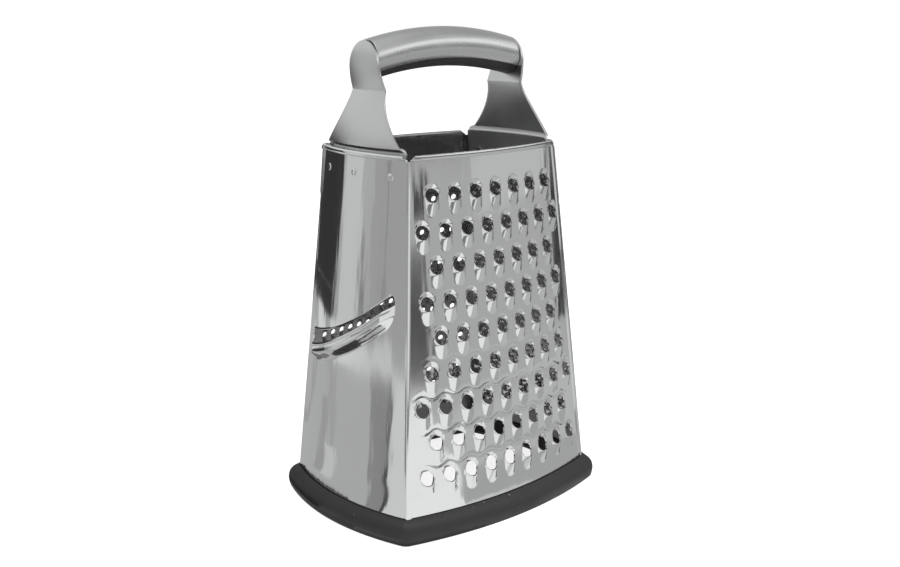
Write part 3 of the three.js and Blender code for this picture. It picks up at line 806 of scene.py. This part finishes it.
hem_s = plain_s[-1] / plain_s[-1, -1] * (sheet_edge("left", HEM_Z) - HEM_CUT)[:, None]
hem_patch = panel("left", hem_s, HEM_Z[:, None], HEM_OFF[:, None])
left_folds = corner_folds("left", np.concatenate([low_z[:, 0], plain_z[1:, 0]]))
right_folds = corner_folds("left", np.concatenate([low_z[:, -1], plain_z[1:, -1]]))
slicing_patches = [low_patch, plain_patch, hem_patch, left_folds[0], right_folds[1]]
steel_face("slicing_sheet", slicing_patches, "slicing_face")

# %% [markdown]
# ## Rivets
# Three rivets hold the tab of each leg inside a narrow face. Joined cylinders and spheres would
# have to be turned by hand to the leaning face. A profile carried round the face's normal leans by
# itself: a flat inner head, the shank and a low dome.

# %% Rivets
LEG_SHEET = 1.2
LEG_INSET = 3.0
LEG_FLARE_HALF = RIM_DEPTH / 2 - LEG_INSET
RIVET_INSET, RIVET_DROP = 6.0, 10.4
RIVET_PITCH = LEG_FLARE_HALF - RIVET_INSET
RIVET_Z = RIM_Z - RIVET_DROP
RIVET_SHANK, RIVET_HEAD, RIVET_DOME = 1.5, 1.9, 0.4
RIVET_SPARE, RIVET_SEAT = 1.0, 0.02
RIVET_TURNS, DOME_STEPS = 32, 8


def rivet_patch(face, s, z):
    """A profile of radius and height carried round the face's normal."""
    inner = -(SHEET + LEG_SHEET + 2 * GAP + RIVET_SPARE)
    arc = np.linspace(0, math.pi / 2, DOME_STEPS + 1)
    head = [[0, inner - RIVET_DOME], [RIVET_HEAD, inner - RIVET_DOME], [RIVET_HEAD, inner]]
    shank = [[RIVET_SHANK, inner], [RIVET_SHANK, RIVET_SEAT]]
    dome = np.stack([RIVET_HEAD * np.cos(arc), RIVET_SEAT + RIVET_DOME * np.sin(arc)], 1)
    profile = np.concatenate([head, shank, dome])
    angle = np.linspace(0, 2 * math.pi, RIVET_TURNS + 1)
    middle = panel(face, s, z)
    normal = panel(face, s, z, 1.0) - middle
    across = panel(face, s + 0.5, z) - panel(face, s - 0.5, z)
    across = across / np.linalg.norm(across)
    up = np.cross(normal, across)
    spoke = np.cos(angle)[:, None] * across + np.sin(angle)[:, None] * up
    return middle + profile[:, :1, None] * spoke + profile[:, 1:, None] * normal


for face in ("left", "right"):
    for index, s in enumerate((-RIVET_PITCH, 0.0, RIVET_PITCH), 1):
        rivet = new_piece(f"{face}_rivet_{index}_dome", [rivet_patch(face, s, RIVET_Z)], POLISHED)
        finished(rivet, "rivet_steel", f"{face}_rivet_{index}")

# %% [markdown]
# ## Rubber foot
# The foot is one rounded section carried round the body's outline, with a groove for the lower
# edge of the sheets. A curve with a bevel profile would pinch at the tight inner corners. So the
# outer part of the section turns round each corner in a fan, and the inner lines meet on the mitre.

# %% Section of the rubber foot
RING_OVERHANG, RING_BULGE, RING_TUCK = 6.3, 4.75, 0.95
RING_INSET, RING_INNER_BEVEL, RING_INNER_LEAN = 3.6, 1.1, 0.2
GROOVE_FLOOR = SHEET_BOTTOM - GAP
TUCK_STEPS, CROWN_STEPS, CROWN_TURN = 6, 15, math.radians(86)


def ring_section():
    """Section points, off the skin and up: outer side, crown, groove, inner side, underside."""
    tuck = np.linspace(1, 0, TUCK_STEPS + 1)[:-1]
    arc = np.linspace(0, CROWN_TURN, CROWN_STEPS + 1)
    inside = -SHEET - RING_INSET
    outer = np.stack([RING_OVERHANG - RING_TUCK * tuck**2, RING_BULGE * (1 - tuck)], 1)
    crown = np.stack([RING_OVERHANG * np.cos(arc),
                      lerp(RING_BULGE, FOOT_HEIGHT, np.sin(arc))], 1)
    rest = [[GAP, GROOVE_FLOOR], [-SHEET - GAP, GROOVE_FLOOR], [-SHEET - GAP, FOOT_HEIGHT - GAP],
            [inside + RING_INNER_BEVEL, FOOT_HEIGHT - RING_INNER_BEVEL],
            [inside + RING_INNER_LEAN, FOOT_HEIGHT / 2], [inside, 0.0]]
    return np.concatenate([outer, crown, rest, outer[:1]])


section = ring_section()
print("foot section of", len(section), "points")

# %% Rubber foot
FACE_STATIONS, FAN_STATIONS = 48, 14


def corner_inset(face, n):
    """How far from the corner, along the face, the line at offset n meets its mitre."""
    half, _, bow = face_plan(face, FOOT_HEIGHT)
    other = "right" if face in WIDE_FACES else "front"
    half_other, _, bow_other = face_plan(other, FOOT_HEIGHT)
    a = math.atan(2 * bow / half)
    b = math.atan(2 * bow_other / half_other)
    return -n * (math.cos(b) - math.sin(a)) / math.cos(a + b)


def ring_side(face, section):
    """The section along one face: outside square to the skin, inside drawn in to the mitres."""
    u = np.linspace(-1, 1, FACE_STATIONS + 1)[None, :]
    n, z = section[:, :1], section[:, 1:]
    half, _, bow = face_plan(face, FOOT_HEIGHT)
    s = u * (half - np.where(n < 0, corner_inset(face, n), 0))
    slope = -2 * bow * s / half**2
    size = np.sqrt(1 + slope**2)
    reach = skin_reach(face, s, FOOT_HEIGHT)
    outside = turned(face, s - n * slope / size, reach + n / size, z)
    return np.where(n[..., None] < 0, turned(face, s, reach + n * size, z), outside)


def ring_corner(before, after):
    """A fan that turns the outer part of the section from one side to the next."""
    t = np.linspace(0, 1, FAN_STATIONS + 1)[None, :, None]
    start, end = before[:, -1:], after[:, :1]
    half, near, _ = face_plan("front", FOOT_HEIGHT)
    pivot = np.array([math.copysign(half, start[0, 0, 0]), math.copysign(near, start[0, 0, 1]), 0])
    level = np.array([1.0, 1.0, 0.0])
    arms = lerp((start - pivot) * level, (end - pivot) * level, t)
    length = np.linalg.norm((start - pivot) * level, axis=-1, keepdims=True)
    arms = arms / np.maximum(np.linalg.norm(arms, axis=-1, keepdims=True), TINY) * length
    return pivot + arms + start * np.array([0.0, 0.0, 1.0])


sides = [ring_side(face, section) for face in TURNS]
corners = [ring_corner(side, sides[(k + 1) % 4]) for k, side in enumerate(sides)]
finished(new_piece("rubber_foot", sides + corners, RUBBER), "foot_rubber", "foot_ring")

# %% [markdown]
# ## Handle legs
# Each leg is one plate: a tab behind the rim, a flare that narrows to a waist, and a round cap
# that closes the grip's end. A flat outline could be bent afterwards, but its bends would be hard
# to place. Here half width and reach are functions of height, and the plate keeps the face's bow.

# %% Shape of a leg
HANDLE_Z = 1000 * cad_high.z
GRIP_RADIUS, GRIP_ARCH = 9.7, 5.5
GRIP_END_TOP = HANDLE_Z - GRIP_ARCH
GRIP_END_BOTTOM = GRIP_END_TOP - 2 * GRIP_RADIUS
LEG_WAIST_HALF, LEG_CAP_HALF = 12.5, 11.4
CAP_RISE, WAIST_DROP, TAB_UNDER = 5.4, 4.1, 7.6
WAIST_LEAN, CAP_LEAN = 6.7, 4.3
LEG_TOP = GRIP_END_TOP - GAP
CAP_Z = GRIP_END_BOTTOM + CAP_RISE
WAIST_Z = GRIP_END_BOTTOM - WAIST_DROP
TAB_BOTTOM = RIVET_Z - TAB_UNDER
TAB_RIM_REACH = skin_reach("right", 0.0, RIM_Z) - SHEET - GAP
WAIST_REACH = TAB_RIM_REACH - WAIST_LEAN
CAP_REACH = TAB_RIM_REACH - CAP_LEAN
FLARE_CURVE, LEAN_CURVE, RETURN_CURVE, ROLL_CURVE = 1.5, 1.4, 1.7, 3
JOGGLE_OUT, JOGGLE_IN, JOGGLE_LOW, JOGGLE_HIGH = 0.8, 1.0, 0.8, 2.4


def leg_half(z):
    """Half width of the plate: the tab, the flare, the neck and the round cap."""
    flare = ramp(z, WAIST_Z, RIM_Z) ** FLARE_CURVE
    neck = ramp(z, WAIST_Z, CAP_Z)
    cap = ramp(z, CAP_Z, LEG_TOP)
    body = np.where(z < WAIST_Z, lerp(LEG_WAIST_HALF, LEG_FLARE_HALF, flare),
                    lerp(LEG_WAIST_HALF, LEG_CAP_HALF, neck))
    return body * np.sqrt(1 - cap**2)


def leg_reach(s, z):
    """Distance of the plate's outside from the axis: it steps out over the rim, leans in to the
    waist and out again, and rolls in at the top of the cap."""
    half, near, bow = face_plan("right", np.minimum(z, RIM_Z))
    tab = near + bow - SHEET - GAP
    lean_in = ramp(z, RIM_Z, WAIST_Z) ** LEAN_CURVE
    lean_out = 1 - (1 - np.minimum(2 * ramp(z, WAIST_Z, LEG_TOP), 1)) ** RETURN_CURVE
    roll = ramp(z, CAP_Z, LEG_TOP) ** ROLL_CURVE
    step = smooth(z, RIM_Z + JOGGLE_LOW, RIM_Z + JOGGLE_HIGH)
    joggle = lerp(-JOGGLE_IN, JOGGLE_OUT * (1 - lean_in), step)
    reach = np.where(z < WAIST_Z, lerp(tab, WAIST_REACH, lean_in),
                     lerp(WAIST_REACH, CAP_REACH, lean_out))
    return reach + joggle - bow * (s / half) ** 2 - roll * LEG_SHEET


print("legs from", round(TAB_BOTTOM, 1), "to", round(LEG_TOP, 1), "mm, waist at", round(WAIST_Z, 1))

# %% Handle legs
LEG_COLUMNS, CAP_STEPS = 36, 15
LEG_EASE = 0.25
JOGGLE_TOP = RIM_Z + 3
# Stretches of the plate, each with its lower end, its upper end and its rows
LEG_STRETCHES = [(TAB_BOTTOM, RIM_Z, 7), (RIM_Z, JOGGLE_TOP, 8), (JOGGLE_TOP, WAIST_Z, 21),
                 (WAIST_Z, CAP_Z, 7)]


def leg_patch(face):
    """The plate on one side: rows at heights that close in towards the top of the round cap, each
    as long as the plate is wide there."""
    rows = [np.linspace(low, high, steps, endpoint=False) for low, high, steps in LEG_STRETCHES]
    cap = lerp(CAP_Z, LEG_TOP, np.sin(np.linspace(0, math.pi / 2, CAP_STEPS + 1)))
    z = np.concatenate([*rows, cap])[:, None]
    s = np.linspace(-1, 1, LEG_COLUMNS + 1) * leg_half(z)
    return turned(face, s, leg_reach(s, z), z)


for face in ("left", "right"):
    leg = new_piece(f"{face}_leg_plate", [leg_patch(face)], SATIN)
    thicken(leg, LEG_SHEET, LEG_EASE)
    finished(leg, "satin_steel", f"{face}_leg")

# %% [markdown]
# ## Grip
# The grip is a round bar that arches between the legs. Its steel shell has a fine seam and is open
# underneath, where the black core shows. A bevelled curve would end square. Sections carried along
# the arch can end anywhere, so each of their lines ends just inside a leg.

# %% Grip
GRIP_SHELL, SHELL_EASE = 1.2, 0.2
OPEN_RISE = 4.3
GRIP_EDGE = math.acos(1 - OPEN_RISE / GRIP_RADIUS)
SEAM_RISE, SEAM_DEPTH, SEAM_HALF = 2.6, 0.2, 0.02
GRIP_STEPS, SHELL_STEPS, SEAM_STEPS = 60, 55, 8
CORE_LOW_STEPS, CORE_HIGH_STEPS = 16, 32


def grip_patch(angle, radius):
    """A section of angles from straight down, and radii, carried along the arch."""
    y = np.sin(angle)[:, None] * radius[:, None]
    rise = -np.cos(angle)[:, None] * radius[:, None]
    end_z = GRIP_END_TOP - GRIP_RADIUS + rise
    end = leg_reach(y, end_z) - LEG_SHEET - GAP
    x = np.linspace(-1, 1, GRIP_STEPS + 1) * end
    z = HANDLE_Z - GRIP_RADIUS - GRIP_ARCH * (x / WAIST_REACH) ** 2 + rise
    return xyz(x, y, z)


seam = GRIP_EDGE + SEAM_RISE / GRIP_RADIUS
seam_high, seam_low = seam + 2 * SEAM_HALF, seam - 2 * SEAM_HALF
shell_angle = np.concatenate([
    np.linspace(2 * math.pi - GRIP_EDGE, seam_high, SHELL_STEPS, endpoint=False),
    np.linspace(seam_high, seam_low, SEAM_STEPS, endpoint=False),
    np.linspace(seam_low, GRIP_EDGE, SEAM_STEPS + 1)])
seam_cut = SEAM_DEPTH * np.maximum(1 - np.abs(shell_angle - seam) / SEAM_HALF, 0)
shell = new_piece("grip_tube", [grip_patch(shell_angle, GRIP_RADIUS - seam_cut)], SATIN)
thicken(shell, GRIP_SHELL, SHELL_EASE)
finished(shell, "satin_steel", "grip_shell")

slit = GAP / GRIP_RADIUS
low_arc = np.linspace(GRIP_EDGE - slit, slit - GRIP_EDGE, CORE_LOW_STEPS + 1)
high_arc = np.linspace(2 * math.pi - GRIP_EDGE + slit, GRIP_EDGE - slit, CORE_HIGH_STEPS + 1)
core_angle = np.concatenate([low_arc, high_arc, low_arc[:1]])
core_radius = np.concatenate([np.full_like(low_arc, GRIP_RADIUS),
                              np.full_like(high_arc, GRIP_RADIUS - GRIP_SHELL - GAP),
                              [GRIP_RADIUS]])
core = new_piece("grip_liner", [grip_patch(core_angle, core_radius)], PLASTIC, closed=True)
finished(core, "grip_plastic", "grip_core")

# %% [markdown]
# ## White surroundings
# The grater stands on a white floor in white surroundings. More light could burn a grey room out
# to white, but the steel with it. So the world and the floor are fully white only to the camera, to
# reflections and through glass, and the floor keeps a soft shadow.

# %% World
WORLD_LIGHT = 0.75


def light_path_factor(tree):
    """A node that gives 1 for camera, glossy and transmission rays, and 0 for the rest."""
    path = add(tree, "ShaderNodeLightPath")
    first = add(tree, "ShaderNodeMath", operation="MAXIMUM")
    second = add(tree, "ShaderNodeMath", operation="MAXIMUM")
    wire(tree, (path, "Is Camera Ray", first, 0), (path, "Is Glossy Ray", first, 1),
         (first, 0, second, 0), (path, "Is Transmission Ray", second, 1))
    return second


world = bpy.data.worlds.new("white_studio")
world.use_nodes = True
bpy.context.scene.world = world
world_tree = world.node_tree
soft = world_tree.nodes["Background"]
adjust(soft, Color=(1, 1, 1, 1), Strength=WORLD_LIGHT)
white = add(world_tree, "ShaderNodeBackground", Color=(1, 1, 1, 1), Strength=1.0)
pick = add(world_tree, "ShaderNodeMixShader")
wire(world_tree, (light_path_factor(world_tree), 0, pick, 0), (soft, 0, pick, 1),
     (white, 0, pick, 2), (pick, 0, world_tree.nodes["World Output"], "Surface"))
print("world light", WORLD_LIGHT)

# %% Floor
FLOOR_HALF = 4000.0
FLOOR_TONE, FLOOR_ROUGHNESS, FLOOR_GLOW = 0.5, 0.9, 0.72
floor_finish, floor_tree, floor_shader, _ = new_finish("white_floor")
adjust(floor_shader, Base_Color=(FLOOR_TONE, FLOOR_TONE, FLOOR_TONE, 1), Roughness=FLOOR_ROUGHNESS)
glow = add(floor_tree, "ShaderNodeEmission", Color=(1, 1, 1, 1), Strength=FLOOR_GLOW)
none = add(floor_tree, "ShaderNodeEmission", Color=(0, 0, 0, 1), Strength=0.0)
seen = add(floor_tree, "ShaderNodeMixShader")
both = add(floor_tree, "ShaderNodeAddShader")
wire(floor_tree, (light_path_factor(floor_tree), 0, seen, 0), (none, 0, seen, 1),
     (glow, 0, seen, 2), (floor_shader, 0, both, 0), (seen, 0, both, 1),
     (both, 0, floor_tree.nodes["Material Output"], "Surface"))
floor_span = np.linspace(-FLOOR_HALF, FLOOR_HALF, 3)
floor = new_piece("white_floor", [xyz(floor_span, floor_span[:, None], 0.0)], floor_finish)
print("floor", 2 * FLOOR_HALF, "mm wide")

# %% [markdown]
# ## Reflection cards
# Polished steel shows what stands round it, and photographers set up cards to give it light and
# dark stripes. A picture of a studio could light the world, but couldn't be aimed at one face. So
# plain glowing cards lie on a mat round the foot and stand on a wall round the grater, under a
# ceiling, and only reflections see them.

# %% Bands of card
CARD_WALL = 600.0
CARD_TOP = 1000.0
# Each band has a tone and knots. A knot is a radius on the mat, or a height on the wall, and the
# azimuths of the band's two ends there; a pair of radii slants its edge. Later bands lie on top.
MAT_BANDS = [
    # The whole mat, and bands on the sides of the coarse and the fine face
    (0.50, (40, -180, 180), (600, -180, 180)),
    (0.95, (40, -110, -5), (78, -110, -5)),
    (0.70, (78, -110, -5), (90, -110, -5)),
    (0.46, (90, -110, -14), (150, -110, -14)),
    (0.58, (150, -84, -14), (330, -84, -14)),
    (0.16, (40, -14, 85), (600, -14, 85)),
    (0.24, (330, -165, -108), (600, -165, -100)),
    (1.00, (60, -165, -107), (130, -165, -89), (150, -165, -86), (330, -165, -86)),
    (1.00, (330, -104, -86), (410, -92, -85)),
    (0.12, (490, -96, -82), (600, -96, -80)),
    # Bands on the side of the slicing face
    (0.06, (92, 75, 113), (200, 75, 104)),
    (0.15, (110, 100, 116), (160, 98, 110)),
    (0.20, (91, 112, 128), (112, 110, 122)),
    (0.05, (45, 112, 174), (91, 112, 174)),
    (0.75, (45, 174, 215), (88, 174, 215)),
    # Stripes that run outwards there
    (0.80, ((340, 490), 100, 168), (600, 100, 168)),
    (0.30, (84, 186, 195), (150, 170, 179.3), (270, 161.5, 170.5), (480, 154.5, 166)),
    (0.06, (84, 194, 196.5), (150, 178.8, 180.8), (270, 170, 171.8), (480, 166, 167.4)),
    (0.74, (84, 196.5, 209), (150, 180.8, 199), (270, 171.8, 184), (520, 166.5, 174)),
    (0.64, (95, 148.5, 157), (150, 136, 144.5)),
    (0.44, (150, 140, 143), (250, 127, 134), (560, 111, 116)),
    (0.40, (95, 141, 148.5), (150, 129.5, 136), (250, 122, 127)),
    (0.42, (150, 112, 116), (560, 97, 100)),
    (0.04, (545, 113, 118.5), (600, 98, 119)),
]
WALL_BANDS = [
    # The whole wall, its upper part, and bands on the side of the coarse face
    (0.50, (0, -180, 180), (CARD_TOP, -180, 180)),
    (0.42, (560, -180, 180), (CARD_TOP, -180, 180)),
    (0.62, (130, -60, -25), (200, -60, -25)),
    (0.14, (200, -100, -5), (390, -100, -5)),
    (0.85, (400, -85, 0), (620, -85, 0)),
    # Bands and streaks on the side of the slicing face
    (0.80, (270, 92, 168), (540, 92, 168)),
    (0.72, (0, 80, 100), (100, 80, 106)),
    (0.04, (30, 82, 119), (230, 76, 119.5)),
    (0.04, (0, 98, 119), (30, 82, 119)),
    (0.55, (35, 92, 94.5), (150, 91, 91.5)),
    (0.42, (0, 119, 123), (230, 119.5, 122)),
    (0.66, (0, 123, 140), (230, 122, 140)),
    (0.18, (0, 141, 145), (110, 142, 143)),
    (0.42, (0, 147, 175), (230, 150, 175)),
    (0.16, (0, 158, 159), (230, 159, 160)),
    # More streaks and edges
    (0.10, (0, -90, -80), (110, -90, -81)),
    (0.06, (140, -84, -80), (180, -82, -79)),
    (0.05, (0, -24, -19), (190, -23, -19)),
    (0.20, (0, -17, 80), (200, -17, 80)),
    (0.90, (0, -165, -104), (200, -165, -104)),
    (0.75, (0, 152, 166), (22, 158, 166)),
]
print("bands of card:", len(MAT_BANDS), "on the mat and", len(WALL_BANDS), "on the wall")

# %% Reflection cards
CARD_COLUMNS, CARD_ROWS = 64, 8
MAT_LIFT, MAT_STEP, WALL_STEP = 0.5, 0.2, 2.0
CEILING_TONE = 0.42


def card_finish(tone):
    """A card that glows evenly in one tone."""
    material = bpy.data.materials.new(f"card_{round(100 * tone)}")
    material.use_nodes = True
    tree = material.node_tree
    tree.nodes.remove(tree.nodes["Principled BSDF"])
    shine = add(tree, "ShaderNodeEmission", Color=(1, 1, 1, 1), Strength=tone)
    wire(tree, (shine, 0, tree.nodes["Material Output"], "Surface"))
    return material


def add_card(name, tone, angle, radius, height):
    """A patch of a turned surface that only reflections see."""
    grid = xyz(radius * np.cos(angle), radius * np.sin(angle), height)
    card = new_piece(name, [grid], card_finish(tone))
    for ray in ("camera", "diffuse", "transmission", "shadow"):
        setattr(card, f"visible_{ray}", False)


def cut_cards(bands):
    """Tone, azimuths and levels of each card: a grid stretched from one knot of a band to the next."""
    u = np.linspace(0, 1, CARD_COLUMNS + 1)[None, :, None]
    v = np.linspace(0, 1, CARD_ROWS + 1)[:, None, None]
    cards = []
    for tone, *knots in bands:
        ends = [np.stack([azimuths, np.broadcast_to(level, 2)], -1) for level, *azimuths in knots]
        for low, high in zip(ends, ends[1:]):
            grid = lerp(lerp(low[0], low[1], u), lerp(high[0], high[1], u), v)
            cards.append((tone, np.radians(grid[..., 0]), grid[..., 1]))
    return cards


mat_cards, wall_cards = cut_cards(MAT_BANDS), cut_cards(WALL_BANDS)
for layer, (tone, angle, radius) in enumerate(mat_cards):
    add_card(f"mat_card_{layer}", tone, angle, radius, MAT_LIFT + MAT_STEP * layer)
for layer, (tone, angle, height) in enumerate(wall_cards):
    add_card(f"wall_card_{layer}", tone, angle, CARD_WALL - WALL_STEP * layer, height)
ceiling = [(CEILING_TONE, (1, -180, 180), (CARD_WALL, -180, 180))]
for tone, angle, radius in cut_cards(ceiling):
    add_card("ceiling_card", tone, angle, radius, CARD_TOP)
print("cards:", len(mat_cards) + len(wall_cards) + 1)

# %% [markdown]
# ## Lamps
# The cards show only in reflections, so two soft boxes light the floor, the rubber and the handle:
# a large one overhead and a smaller one from the right. Sun lamps would do, but cast hard shadows.

# %% Lamps


def soft_lamp(name, place, aim, size, power):
    """A square soft box at a place, in millimetres, turned towards a point."""
    data = bpy.data.lights.new(name, "AREA")
    data.shape = "SQUARE"
    data.size = size * MM
    data.energy = power
    back = np.array(place, float) - np.array(aim, float)
    back = back / np.linalg.norm(back)
    right = np.cross([0.0, 0.0, 1.0], back)
    right = right / np.linalg.norm(right)
    return placed(name, data, place, np.array([right, np.cross(back, right), back]))


top_box = soft_lamp("top_box", place=(-100, -150, 1300), aim=(0, 0, 100), size=900, power=9.0)
side_box = soft_lamp("side_box", place=(900, -900, 800), aim=(0, 0, 120), size=600, power=6.0)
bpy.context.scene.view_settings.view_transform = "Standard"
print("lamps:", top_box.name, side_box.name)
